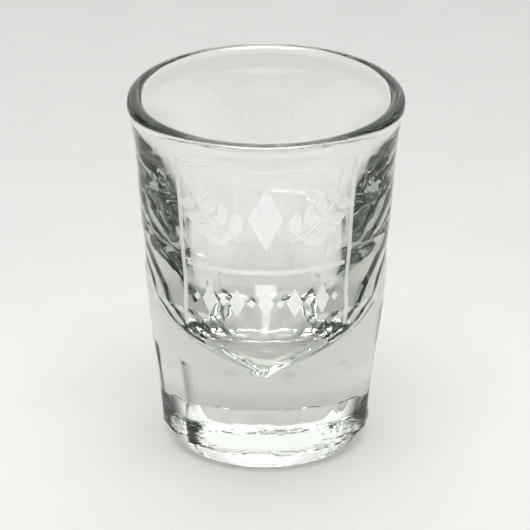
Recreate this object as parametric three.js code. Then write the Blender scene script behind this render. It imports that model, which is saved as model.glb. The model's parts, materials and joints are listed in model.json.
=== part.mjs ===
import * as THREE from 'three';

// Pressed shot glass, one body of soda-lime glass. Millimetres, +Z up, origin at the centre of the foot.
// Azimuth 0 points to -Y (the decorated side) and grows towards +X.

// Driving dimensions
const HEIGHT = 73;
const FOOT_EDGE_R = 20.9; // outside radius at the top of the foot rounding
const FOOT_ROUNDING_R = 1.7; // the rounding is taller than it is deep
const FOOT_ROUNDING_Z = 3.0;
const FOOT_RING_INNER_R = 16.0; // the glass stands on a flat ring from here out to the rounding
const UNDERSIDE_R = 14.8;
const UNDERSIDE_RECESS = 1.2; // shallow dome pressed into the underside
const SHOULDER_R = 23.12; // outside radius where the panels end
const SHOULDER_Z = 22.9;
const WAIST_R = 24.75;
const WAIST_Z = 41;
const LIP_START_R = 26.0;
const LIP_START_Z = 61;
const RIM_R = 27.5;
const RIM_BEAD_Z = 70.6;
const MOUTH_R = 24.45;
const CONE_END_R = 16.4; // cavity: a straight cone down to here, then a rounded bowl
const CONE_END_Z = 37.5;
const BOWL_FLOOR_Z = 20.8;
const DIMPLE_DEPTH = 2.6; // the bowl ends in a small dimple, so the base is 18.2 mm thick on the axis
const DIMPLE_WIDTH = 3.6;

const PANELS = 12;
const PANEL_RIDGE_AZ = 40.5; // degrees, one of the twelve ridges
const PANEL_TOP_Z = 21.7;
const PANEL_BOTTOM_Z = 4.2;
const COLUMNS_PER_PANEL = 5;

const COLUMNS = PANELS * COLUMNS_PER_PANEL;
const STEP = (2 * Math.PI) / PANELS;

// Azimuths of the columns: a column on every ridge, the rest evenly between.
const azimuths = Array.from({ length: COLUMNS }, (_, i) =>
  (PANEL_RIDGE_AZ * Math.PI) / 180 + (i * STEP) / COLUMNS_PER_PANEL);

// Smooth outside radius between the shoulder and the lip, straight taper below the shoulder.
function hermite(z, z0, r0, m0, z1, r1, m1) {
  const h = z1 - z0;
  const t = (z - z0) / h;
  const t2 = t * t;
  const t3 = t2 * t;
  return (2 * t3 - 3 * t2 + 1) * r0 + (t3 - 2 * t2 + t) * h * m0
    + (-2 * t3 + 3 * t2) * r1 + (t3 - t2) * h * m1;
}

const TAPER = (SHOULDER_R - FOOT_EDGE_R) / (SHOULDER_Z - FOOT_ROUNDING_Z);
const WAIST_SLOPE = 0.055;
const LIP_SLOPE = 0.085;
const RIM_SLOPE = 0.17;

function outerRadius(z) {
  if (z <= SHOULDER_Z) return FOOT_EDGE_R + TAPER * (z - FOOT_ROUNDING_Z);
  if (z <= WAIST_Z) return hermite(z, SHOULDER_Z, SHOULDER_R, TAPER * 0.9, WAIST_Z, WAIST_R, WAIST_SLOPE);
  if (z <= LIP_START_Z) return hermite(z, WAIST_Z, WAIST_R, WAIST_SLOPE, LIP_START_Z, LIP_START_R, LIP_SLOPE);
  return hermite(z, LIP_START_Z, LIP_START_R, LIP_SLOPE, RIM_BEAD_Z, RIM_R - 0.15, RIM_SLOPE);
}

const round = (r, z) => ({ z, radii: azimuths.map(() => r) });

// Flat panels: the full radius stands only on the ridges.
function panelled(z) {
  const r = outerRadius(z);
  return {
    z,
    radii: azimuths.map((_, i) => {
      const off = ((i % COLUMNS_PER_PANEL) / COLUMNS_PER_PANEL - 0.5) * STEP;
      return (r * Math.cos(STEP / 2)) / Math.cos(off);
    }),
  };
}

function rows() {
  const list = [];
  // underside dome, foot ring and foot rounding
  list.push(round(UNDERSIDE_R / 2, UNDERSIDE_RECESS * 0.87));
  list.push(round(UNDERSIDE_R, UNDERSIDE_RECESS * 0.5));
  list.push(round(FOOT_RING_INNER_R, 0));
  for (let i = 0; i <= 4; i += 1) {
    const a = (i / 4) * (Math.PI / 2);
    list.push(round(
      FOOT_EDGE_R - FOOT_ROUNDING_R * (1 - Math.sin(a)),
      FOOT_ROUNDING_Z * (1 - Math.cos(a)),
    ));
  }
  // panels
  [PANEL_BOTTOM_Z, (PANEL_BOTTOM_Z + PANEL_TOP_Z) / 2, PANEL_TOP_Z].forEach((z) => list.push(panelled(z)));
  // plain wall up to the rim
  [SHOULDER_Z, 29, 35, WAIST_Z, 48, 55, LIP_START_Z, 65.5, 68.5, RIM_BEAD_Z].forEach((z) => list.push(round(outerRadius(z), z)));
  // fire-polished rim bead: fullest just above where the wall ends, crest at the full height
  const coneTop = RIM_BEAD_Z - 0.6;
  const beadRadii = [RIM_R, RIM_R - 0.45, RIM_R - 1.05, RIM_R - 1.7, MOUTH_R + 0.75, MOUTH_R + 0.25, MOUTH_R];
  beadRadii.forEach((r, k) => {
    const a = ((k + 1) / 7) * Math.PI;
    const foot = k < 3 ? RIM_BEAD_Z : coneTop;
    const rise = k === 2 ? 1 : Math.sin(Math.min(a, Math.PI));
    list.push(round(r, foot + (HEIGHT - foot) * rise));
  });
  // straight cone, then the rounded bowl of the cavity
  for (let i = 1; i <= 4; i += 1) {
    const t = i / 4;
    list.push(round(MOUTH_R + (CONE_END_R - MOUTH_R) * t, coneTop + (CONE_END_Z - coneTop) * t));
  }
  const coneSlope = (MOUTH_R - CONE_END_R) / (coneTop - CONE_END_Z);
  [10, 20, 30, 40, 50, 60, 68, 75, 80, 84, 87].forEach((deg) => {
    const a = (deg * Math.PI) / 180;
    const bowlZ = CONE_END_Z - (CONE_END_Z - BOWL_FLOOR_Z) * Math.sin(a);
    const r = (CONE_END_R - coneSlope * (CONE_END_Z - bowlZ) * Math.cos(a)) * Math.cos(a);
    list.push(round(r, bowlZ - DIMPLE_DEPTH * Math.exp(-((r / DIMPLE_WIDTH) ** 2))));
  });
  return list;
}

function closedBody(list, bottomZ, floorZ) {
  const positions = [0, 0, bottomZ];
  list.forEach(({ z, radii }) => radii.forEach((r, i) => {
    positions.push(r * Math.sin(azimuths[i]), -r * Math.cos(azimuths[i]), z);
  }));
  positions.push(0, 0, floorZ);
  const last = 1 + list.length * COLUMNS;
  const at = (row, i) => 1 + row * COLUMNS + (i % COLUMNS);
  const index = [];
  for (let i = 0; i < COLUMNS; i += 1) {
    index.push(0, at(0, i + 1), at(0, i));
    for (let k = 0; k + 1 < list.length; k += 1) {
      const a = at(k, i);
      const b = at(k, i + 1);
      const c = at(k + 1, i + 1);
      const d = at(k + 1, i);
      index.push(a, b, c, a, c, d);
    }
    index.push(at(list.length - 1, i), at(list.length - 1, i + 1), last);
  }
  const geometry = new THREE.BufferGeometry();
  geometry.setAttribute('position', new THREE.Float32BufferAttribute(positions, 3));
  geometry.setIndex(index);
  geometry.computeVertexNormals();
  return geometry;
}

const glass = new THREE.MeshStandardMaterial({
  name: 'glass', color: 0xdfeee6, roughness: 0.05, metalness: 0, transparent: true, opacity: 0.4,
});

const part = new THREE.Group();
part.name = 'shot_glass';
const body = new THREE.Mesh(closedBody(rows(), UNDERSIDE_RECESS, BOWL_FLOOR_Z - DIMPLE_DEPTH), glass);
body.name = 'glass_body';
part.add(body);

export default part;
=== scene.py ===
import json
import math

import bpy
import numpy as np
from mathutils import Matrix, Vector

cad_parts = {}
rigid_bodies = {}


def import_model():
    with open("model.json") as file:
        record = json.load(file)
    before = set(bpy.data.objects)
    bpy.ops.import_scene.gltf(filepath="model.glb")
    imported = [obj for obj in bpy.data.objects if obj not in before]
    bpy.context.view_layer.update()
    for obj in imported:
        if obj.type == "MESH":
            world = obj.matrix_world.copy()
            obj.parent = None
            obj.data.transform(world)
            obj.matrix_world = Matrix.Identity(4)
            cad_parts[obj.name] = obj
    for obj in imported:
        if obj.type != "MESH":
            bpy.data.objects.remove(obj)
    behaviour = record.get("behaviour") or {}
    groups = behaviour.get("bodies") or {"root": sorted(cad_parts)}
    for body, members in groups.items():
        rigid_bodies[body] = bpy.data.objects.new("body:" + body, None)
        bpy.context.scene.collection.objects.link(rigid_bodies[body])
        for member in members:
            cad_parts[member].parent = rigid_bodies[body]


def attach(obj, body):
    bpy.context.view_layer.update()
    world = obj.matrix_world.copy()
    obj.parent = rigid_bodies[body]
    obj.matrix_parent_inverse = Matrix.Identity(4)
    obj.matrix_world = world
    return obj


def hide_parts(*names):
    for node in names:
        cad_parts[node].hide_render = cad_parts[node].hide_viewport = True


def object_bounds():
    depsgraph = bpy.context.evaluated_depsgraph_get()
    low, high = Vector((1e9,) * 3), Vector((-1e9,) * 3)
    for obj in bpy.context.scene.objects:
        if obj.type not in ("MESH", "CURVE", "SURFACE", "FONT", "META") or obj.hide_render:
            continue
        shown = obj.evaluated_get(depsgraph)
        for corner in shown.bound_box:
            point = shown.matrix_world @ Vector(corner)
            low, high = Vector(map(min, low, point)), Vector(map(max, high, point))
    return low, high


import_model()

MM = 0.001
LOW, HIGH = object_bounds()
HEIGHT = (HIGH.z - LOW.z) / MM
RIM_R = (HIGH.x - LOW.x) / 2 / MM

# Lengths below are in millimetres, heights are above the table, angles in radians.
# Outside wall: (height, radius) points of a smooth curve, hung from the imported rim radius.
WALL = [
    (3.0, RIM_R - 6.9), (12.0, RIM_R - 6.1), (22.9, RIM_R - 4.7), (30.0, RIM_R - 3.9),
    (36.0, RIM_R - 3.4), (40.7, RIM_R - 3.45), (48.1, RIM_R - 2.7), (53.3, RIM_R - 2.37),
    (61.1, RIM_R - 1.8), (64.5, RIM_R - 1.45), (67.7, RIM_R - 0.93), (70.6, RIM_R - 0.2),
]
# Flat panels round the base, and the round shoulder that ends them.
PANELS = 12
RIDGE_AZ = math.radians(41.5)
PANEL_TOP, SHOULDER = 21.4, 2.2
RIDGE_GROW, RIDGE_SOFT = 1.016, 0.010
# Foot: how far it is drawn in, up to which height, how straight, and the slope above it.
FOOT_R, FOOT_Z, CHAMFER, FLARE = 2.5, 3.6, 0.9, 0.5
BAND_GROW, BAND_SOFT = 1.002, 0.03
# Underside: resting ring, domed recess, and the lobes and waves left by the mould.
RING_R, RING_STEP = 16.0, 1.2
RECESS, DOME = 1.2, 0.6
RING_LOBE, UNDER_WAVE = 0.45, 0.05
# Cavity: mouth, steep cone, shallow tip, and the faint upright waves in its wall.
MOUTH_R, BEAD_IN_Z = RIM_R - 3.45, 70.0
CONE_R, CONE_Z = RIM_R - 11.1, 37.5
TIP_Z, TIP_ANGLE, BOWL_SOFT, CAVITY_DROP = 16.4, math.radians(34), 8.0, 0.5
RIPPLE = 0.003
COLUMNS = 720
# Frosted decoration: wall radius that its arc lengths are laid out on, and half its thickness.
MAP_R, FROST_HALF = RIM_R - 2.0, 0.03
# Studio, in metres and watts.
CAMERA_UP, CAMERA_AWAY, LENS_PER_WIDTH = math.radians(24.6), 0.9, 8.519
SENSOR = 36
FLOOR_HALF, FLOOR_GAP = 3.0, 0.00005
BACK_GLOW, TOP_GLOW, ROOM_GLOW = 1.25, 1.0, 0.012
TOP_WATTS, WRAP_WATTS, FRONT_WATTS = 3.6, 5.1, 15.5
BOUNCES = 24
GLASS_IOR, FROST_IOR = 1.52, 1.45
scene = bpy.context.scene


# ---------------------------------------------------------------- camera and studio
def make_camera():
    """In front of the glass and above the floor, with a long lens and no shift."""
    data = bpy.data.cameras.new("camera")
    data.sensor_width = SENSOR
    data.lens = SENSOR * LENS_PER_WIDTH
    data.clip_start, data.clip_end = 0.05, 50
    cam = bpy.data.objects.new("camera", data)
    scene.collection.objects.link(cam)
    aim = Vector((LOW.x + HIGH.x, LOW.y + HIGH.y, 0)) / 2 + Vector((-0.0002, 0, 0.492 * HIGH.z))
    cam.location = aim + CAMERA_AWAY * Vector((0, -math.cos(CAMERA_UP), math.sin(CAMERA_UP)))
    cam.rotation_euler = (math.pi / 2 - CAMERA_UP, 0, 0)
    scene.camera = cam


def node(tree, kind, **sockets):
    n = tree.nodes.new(kind)
    for key, value in sockets.items():
        n.inputs[key.replace("_", " ")].default_value = value
    return n


def softbox(name, at, size, tilt, watts):
    """Rectangular area lamp: place and size in metres, tilt in degrees."""
    lamp = bpy.data.lights.new(name, "AREA")
    lamp.shape = "RECTANGLE"
    lamp.size, lamp.size_y = size
    lamp.energy = watts
    ob = bpy.data.objects.new(name, lamp)
    ob.location = at
    ob.rotation_euler = [math.radians(a) for a in tilt]
    scene.collection.objects.link(ob)
    return ob


def make_world():
    """A pale glow behind and above, falling to a dark room at the sides and in front."""
    world = bpy.data.worlds.new("studio")
    scene.world = world
    world.use_nodes = True
    t = world.node_tree
    out = t.nodes["Background"]
    coord = t.nodes.new("ShaderNodeTexCoord")
    axes = t.nodes.new("ShaderNodeSeparateXYZ")
    t.links.new(coord.outputs["Generated"], axes.inputs[0])

    def step(socket, lo, hi, a=0.0, b=1.0):
        n = t.nodes.new("ShaderNodeMapRange")
        n.interpolation_type = "SMOOTHSTEP"
        t.links.new(socket, n.inputs[0])
        for i, v in enumerate((lo, hi, a, b)):
            n.inputs[i + 1].default_value = v
        return n.outputs[0]

    def maths(op, a, b):
        n = t.nodes.new("ShaderNodeMath")
        n.operation = op
        for i, v in enumerate((a, b)):
            if isinstance(v, float):
                n.inputs[i].default_value = v
            else:
                t.links.new(v, n.inputs[i])
        return n.outputs[0]

    back = step(axes.outputs["Y"], 0.1, 0.6, 0.0, BACK_GLOW)
    back = maths("MULTIPLY", back, step(axes.outputs["Z"], 0.5, 0.9, 1.0, 0.45))
    side = step(maths("ABSOLUTE", axes.outputs["X"], 0.0), 0.55, 0.85, 1.0, 0.0)
    top = step(axes.outputs["Z"], 0.75, 0.95, 0.0, TOP_GLOW)
    glow = maths("MAXIMUM", maths("MULTIPLY", back, side), top)
    glow = maths("ADD", glow, ROOM_GLOW)
    t.links.new(glow, out.inputs[0])
    out.inputs[1].default_value = 1.0


def make_floor():
    """Wide sheet of pale paper just under the foot."""
    me = bpy.data.meshes.new("floor")
    s = FLOOR_HALF
    me.from_pydata([(-s, -s, 0), (s, -s, 0), (s, s, 0), (-s, s, 0)], [], [(0, 1, 2, 3)])
    ob = bpy.data.objects.new("floor", me)
    ob.location.z = LOW.z - FLOOR_GAP
    scene.collection.objects.link(ob)
    mat = bpy.data.materials.new("floor_paper")
    mat.use_nodes = True
    t = mat.node_tree
    p = t.nodes["Principled BSDF"]
    p.inputs["Roughness"].default_value = 0.8
    p.inputs["Specular IOR Level"].default_value = 0.1
    coord = t.nodes.new("ShaderNodeTexCoord")
    grain = node(t, "ShaderNodeTexNoise", Scale=60.0, Detail=6.0)
    t.links.new(coord.outputs["Object"], grain.inputs["Vector"])
    ramp = t.nodes.new("ShaderNodeValToRGB")
    ramp.color_ramp.elements[0].color = (0.805, 0.80, 0.785, 1)
    ramp.color_ramp.elements[1].color = (0.835, 0.83, 0.815, 1)
    t.links.new(grain.outputs["Fac"], ramp.inputs[0])
    t.links.new(ramp.outputs[0], p.inputs["Base Color"])
    me.materials.append(mat)


# ---------------------------------------------------------------- the glass
def wall_radius(z):
    """Smooth cubic through WALL."""
    zs, rs = np.array(WALL).T
    z = np.asarray(z, float)
    h = np.diff(zs)
    d = np.diff(rs) / h
    m = np.concatenate([d[:1], (d[:-1] + d[1:]) / 2, d[-1:]])
    i = np.clip(np.searchsorted(zs, z) - 1, 0, len(h) - 1)
    u = (z - zs[i]) / h[i]
    return (
        (2 * u**3 - 3 * u**2 + 1) * rs[i] + (u**3 - 2 * u**2 + u) * h[i] * m[i]
        + (-2 * u**3 + 3 * u**2) * rs[i + 1] + (u**3 - u**2) * h[i] * m[i + 1]
    )


def ease(u):
    """Smooth step from 0 to 1."""
    u = np.clip(u, 0, 1)
    return u * u * (3 - 2 * u)


def panel_share(az):
    """Radius of a flat panel over the ridge radius: 1 on the ridges, least in the middle."""
    step = 2 * math.pi / PANELS
    off = (az - RIDGE_AZ) % step - step / 2
    flat = math.cos(step / 2) / np.cos(off)
    return 1 - soft_max(1 - flat - RIDGE_SOFT, RIDGE_SOFT)


def soft_max(x, k):
    """max(x, 0) with the corner rounded over k."""
    return 0.5 * (x + np.sqrt(x * x + k * k))


def side_radius(az, z):
    """Outside radius: a round foot band, flat panels above it, round from the shoulder up."""
    r = float(wall_radius(max(z, FOOT_Z)))
    full = float(ease((z - PANEL_TOP) / SHOULDER))
    wall = r * (full + (1 - full) * RIDGE_GROW * panel_share(az))
    u = min(max(1 - z / FOOT_Z, 0), 1)
    inset = FOOT_R * (CHAMFER * u + (1 - CHAMFER) * (1 - math.sqrt(1 - u * u)))
    foot = float(wall_radius(FOOT_Z)) * BAND_GROW
    band = foot - inset - FLARE * max(z - FOOT_Z, 0)
    if z >= FOOT_Z:
        return wall + soft_max(band - wall, BAND_SOFT)
    return band + soft_max(wall - foot, BAND_SOFT) * z / FOOT_Z


def underside_rows(az):
    """A shallow dome inside a resting ring. The mould leaves both a little lobed and wavy."""
    rows = []
    flat = RING_R - RING_STEP
    lobes = RING_LOBE * np.cos(PANELS * (az - RIDGE_AZ))
    waves = UNDER_WAVE * sum(np.sin(n * az + n) for n in (19, 29, 41))
    for i in range(1, 49):
        r = flat * i / 48
        swell = float(ease((r - 6) / 7))
        dome = RECESS * (1 - DOME * (r / flat) ** 2)
        rows.append((r + lobes * swell, dome + waves * swell * math.sin(1.3 * r)))
    edge = RECESS * (1 - DOME) + waves * math.sin(1.3 * flat)
    for i in range(1, 9):
        rows.append((flat + RING_STEP * i / 8 + lobes, edge * (1 - float(ease(i / 8)))))
    return rows


def wall_rows(az):
    """From the table up to the bead, closest together at the foot and the shoulder."""
    zs = np.concatenate([
        FOOT_Z * (1 - np.cos(np.linspace(0, math.pi / 2, 36))),
        np.linspace(FOOT_Z, FOOT_Z + 2, 30)[1:],
        np.linspace(FOOT_Z + 2, PANEL_TOP, 24)[1:],
        np.linspace(PANEL_TOP, PANEL_TOP + SHOULDER, 30)[1:],
        np.linspace(PANEL_TOP + SHOULDER, WALL[-1][0], 110)[1:],
    ])
    return [(side_radius(az, float(z)), float(z)) for z in zs]


def bead_rows(az):
    """The fire-polished rim: a rounded bead, fullest just under its crest."""
    top_z, outer = WALL[-1]
    middle, half = (outer + MOUTH_R) / 2, (outer - MOUTH_R) / 2
    rows = []
    for i in range(1, 28):
        a = i / 28 * math.pi
        foot = top_z if a < math.pi / 2 else BEAD_IN_Z
        swell = 0.2 * max(math.sin(2 * a), 0) if a < math.pi / 2 else 0
        rows.append((middle + half * math.cos(a) + swell, foot + (HEIGHT - foot) * math.sin(a) ** 0.9))
    return [(np.full(len(az), r), z) for r, z in rows]


def ripple(az, z):
    """Faint upright waves left in the pressed cavity wall, fading out at mouth and floor."""
    wave = sum(
        math.cos(k * 1.7 + z * d) * np.sin(n * az + k * 2.3 + z * d)
        for k, (n, d) in enumerate([(17, 0.02), (23, -0.03), (31, 0.05), (41, -0.04), (53, 0.03)])
    )
    fade = float(ease((HEIGHT - 4 - z) / 6) * ease((z - 22) / 8))
    return RIPPLE * fade * wave


def cavity_height(r):
    """Height of the cavity wall at radius r: a steep cone rounded into a shallow one."""
    steep = CONE_Z + (r - CONE_R) * (BEAD_IN_Z - CONE_Z) / (MOUTH_R - CONE_R)
    shallow = TIP_Z + r * math.tan(TIP_ANGLE) + 0.25 * math.exp(-r / 0.5)
    blend = math.sqrt((steep - shallow) ** 2 + BOWL_SOFT**2)
    return 0.5 * (steep + shallow + blend) - CAVITY_DROP * (r / MOUTH_R)


def cavity_rows(az):
    """From the mouth down to the tip, closer together in the bowl."""
    bend = CONE_R - 1
    radii = [MOUTH_R + (bend - MOUTH_R) * i / 60 for i in range(1, 61)]
    radii += [bend * (1 - i / 180) for i in range(1, 180)]
    return [(r + ripple(az, cavity_height(r)), cavity_height(r)) for r in radii]


def closed_mesh(name, rows, az, bottom, top):
    """One closed body of revolution from rows of (radii, height), bottom and top on the axis."""
    n = len(az)
    sin, cos = np.sin(az), -np.cos(az)
    parts = [np.array([[0, 0, bottom]])]
    parts += [np.stack([r * sin, r * cos, np.full(n, z)], 1) for r, z in rows]
    parts.append(np.array([[0, 0, top]]))
    verts = np.concatenate(parts) * MM
    j = np.arange(n)
    k = (j + 1) % n
    faces = [(0, 1 + b, 1 + a) for a, b in zip(j.tolist(), k.tolist())]
    for row in range(len(rows) - 1):
        s = 1 + row * n
        faces += np.stack([s + j, s + k, s + n + k, s + n + j], 1).tolist()
    s, last = 1 + (len(rows) - 1) * n, len(verts) - 1
    faces += [(s + a, s + b, last) for a, b in zip(j.tolist(), k.tolist())]
    me = bpy.data.meshes.new(name)
    me.from_pydata(verts.tolist(), [], faces)
    me.polygons.foreach_set("use_smooth", np.ones(len(me.polygons), bool))
    me.update()
    return me


def glass_material():
    """Clear glass with a faint green tint in its thickness and a barely uneven surface."""
    mat = bpy.data.materials.new("clear_glass")
    mat.use_nodes = True
    t = mat.node_tree
    p = t.nodes["Principled BSDF"]
    p.inputs["Base Color"].default_value = (1, 1, 1, 1)
    p.inputs["Roughness"].default_value = 0.0
    p.inputs["IOR"].default_value = GLASS_IOR
    p.inputs["Transmission Weight"].default_value = 1.0
    out = t.nodes["Material Output"]
    tint = t.nodes.new("ShaderNodeVolumeAbsorption")
    tint.inputs["Color"].default_value = (0.55, 0.605, 0.525, 1)
    tint.inputs["Density"].default_value = 12.0
    t.links.new(tint.outputs[0], out.inputs["Volume"])
    coord = t.nodes.new("ShaderNodeTexCoord")
    uneven = node(t, "ShaderNodeTexNoise", Scale=90.0, Detail=2.0, Roughness=0.4)
    t.links.new(coord.outputs["Object"], uneven.inputs["Vector"])
    bump = node(t, "ShaderNodeBump", Strength=0.03, Distance=0.001)
    t.links.new(uneven.outputs["Fac"], bump.inputs["Height"])
    t.links.new(bump.outputs[0], p.inputs["Normal"])
    return mat


def make_glass():
    """The whole glass as one closed body, from underside to cavity tip."""
    az = np.arange(COLUMNS) / COLUMNS * 2 * math.pi
    rows = underside_rows(az) + wall_rows(az) + bead_rows(az) + cavity_rows(az)
    me = closed_mesh("glass", rows, az, RECESS, cavity_height(0))
    ob = bpy.data.objects.new("glass", me)
    scene.collection.objects.link(ob)
    me.materials.append(glass_material())
    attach(ob, "root")
    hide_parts("glass_body")


# ---------------------------------------------------------------- the etched decoration
def plate(verts, faces, path, width, stations=24, across=5):
    """Thin closed plate hugging the wall: path(t) gives (arc, height), width(t) the half width."""
    base = len(verts)
    for lift in (-FROST_HALF, FROST_HALF):
        for i in range(stations + 1):
            t = i / stations
            (s0, z0), (s1, z1) = path(max(t - 0.01, 0)), path(min(t + 0.01, 1))
            run = math.hypot(s1 - s0, z1 - z0)
            s, z = path(t)
            w = max(width(t), 0.03)
            for j in range(across + 1):
                v = 2 * j / across - 1
                arc = s - v * w * (z1 - z0) / run
                high = z + v * w * (s1 - s0) / run
                r = float(wall_radius(high)) + lift
                a = arc / MAP_R
                verts.append((r * math.sin(a) * MM, -r * math.cos(a) * MM, high * MM))
    row, layer = across + 1, (stations + 1) * (across + 1)

    def quad(a, b, c, d):
        faces.append(tuple(base + k for k in (a, b, c, d)))

    for i in range(stations):
        for j in range(across):
            k = i * row + j
            quad(layer + k, layer + k + row, layer + k + row + 1, layer + k + 1)
            quad(k, k + 1, k + row + 1, k + row)
    for i in range(stations):
        k, m = i * row, i * row + across
        quad(k, k + row, layer + k + row, layer + k)
        quad(m, layer + m, layer + m + row, m + row)
    for j in range(across):
        k, m = j, stations * row + j
        quad(k, layer + k, layer + k + 1, k + 1)
        quad(m, m + 1, layer + m + 1, layer + m)


def line(a, b, bow=0.0):
    """Path from a to b, bowed sideways in the middle."""
    ds, dz = b[0] - a[0], b[1] - a[1]
    run = math.hypot(ds, dz)

    def path(t):
        k = bow * 4 * t * (1 - t) / run
        return a[0] + ds * t - dz * k, a[1] + dz * t + ds * k
    return path


def etched(name, shapes):
    """One frosted piece of several plates."""
    verts, faces = [], []
    for path, width in shapes:
        plate(verts, faces, path, width)
    me = bpy.data.meshes.new(name)
    me.from_pydata(verts, [], faces)
    me.update()
    ob = bpy.data.objects.new(name, me)
    scene.collection.objects.link(ob)
    me.materials.append(bpy.data.materials.get("frosted") or frosted_material())
    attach(ob, "root")


def frosted_material():
    """Satin white of an etched surface, with a fine grain."""
    mat = bpy.data.materials.new("frosted")
    mat.use_nodes = True
    t = mat.node_tree
    p = t.nodes["Principled BSDF"]
    p.inputs["IOR"].default_value = FROST_IOR
    p.inputs["Alpha"].default_value = 0.62
    coord = t.nodes.new("ShaderNodeTexCoord")
    grain = node(t, "ShaderNodeTexNoise", Scale=2500.0, Detail=3.0)
    t.links.new(coord.outputs["Object"], grain.inputs["Vector"])
    rough = t.nodes.new("ShaderNodeMapRange")
    t.links.new(grain.outputs["Fac"], rough.inputs[0])
    rough.inputs[3].default_value, rough.inputs[4].default_value = 0.45, 0.75
    t.links.new(rough.outputs[0], p.inputs["Roughness"])
    tone = t.nodes.new("ShaderNodeValToRGB")
    tone.color_ramp.elements[0].color = (0.90, 0.91, 0.90, 1)
    tone.color_ramp.elements[1].color = (0.99, 0.99, 0.98, 1)
    t.links.new(grain.outputs["Fac"], tone.inputs[0])
    t.links.new(tone.outputs[0], p.inputs["Base Color"])
    return mat


def flat_width(w):
    return lambda t: w


def leaf_width(w):
    return lambda t: w * math.sin(math.pi * t) ** 0.7


def lozenge_width(w):
    return lambda t: w * (1 - abs(2 * t - 1))


def frame_lines():
    """Two uprights, a fine top line and the divider."""
    etched("etched_frame", [
        (line((-18.0, 31.5), (-18.3, 68.0)), flat_width(0.50)),
        (line((18.0, 31.5), (18.3, 68.0)), flat_width(0.50)),
        (line((-17.2, 67.6), (17.2, 67.6)), flat_width(0.25)),
        (line((-17.2, 45.4), (17.2, 45.4)), flat_width(0.50)),
    ])


def spray(name, side):
    """A curved stem with pairs of leaves, reaching outwards from the middle."""
    stem = line((side * 5.0, 52.0), (side * 15.4, 62.6), -side * 1.6)
    shapes = [(stem, flat_width(0.25))]
    leaf = leaf_width(1.25)
    for k in range(4):
        s, z = stem(0.10 + 0.22 * k)
        size = 5.2 - 0.45 * k
        upper = line((s, z + 0.5), (s - side * 0.2, z + 0.5 + size), side * 0.6)
        lower = line((s + side * 0.6, z), (s + side * (0.6 + size), z - 0.4), -side * 0.6)
        shapes += [(upper, leaf), (lower, leaf)]
    etched(name, shapes)


def lozenges():
    """A tall lozenge above the divider and a row of small ones below it."""
    shapes = [(line((0, 50.0), (0, 64.0)), lozenge_width(3.4))]
    shapes += [(line((s, 35.4), (s, 41.6)), lozenge_width(1.7)) for s in (-12, -6, 0, 6, 12)]
    shapes += [(line((s, 37.6), (s, 39.4)), lozenge_width(0.9)) for s in (-15, -9, -3, 3, 9, 15)]
    etched("etched_lozenges", shapes)


def make_light():
    """A top light in two halves, the second not shaded by the glass, and a fill on the frosting."""
    fill = softbox("softbox_front", (0, -1.3, 0.75), (0.6, 0.6), (60, 0, 0), FRONT_WATTS)
    frosted = bpy.data.collections.new("frosted_pieces")
    for ob in scene.objects:
        if ob.name.startswith("etched"):
            frosted.objects.link(ob)
    fill.light_linking.receiver_collection = frosted
    softbox("softbox_top", (0, -0.28, 1.0), (0.7, 0.6), (-14, 0, 0), TOP_WATTS)
    wrap = softbox("softbox_wrap", (0, -0.28, 1.01), (0.7, 0.6), (-14, 0, 0), WRAP_WATTS)
    blockers = bpy.data.collections.new("shadow_casters")
    blockers.objects.link(scene.objects["floor"])
    wrap.light_linking.blocker_collection = blockers


make_camera()
make_floor()
make_world()
make_glass()
frame_lines()
spray("etched_spray_left", -1)
spray("etched_spray_right", 1)
lozenges()
make_light()
scene.view_settings.view_transform = "Standard"
scene.view_settings.gamma = 0.72
scene.cycles.max_bounces = BOUNCES
scene.cycles.transmission_bounces = BOUNCES
scene.cycles.glossy_bounces = BOUNCES
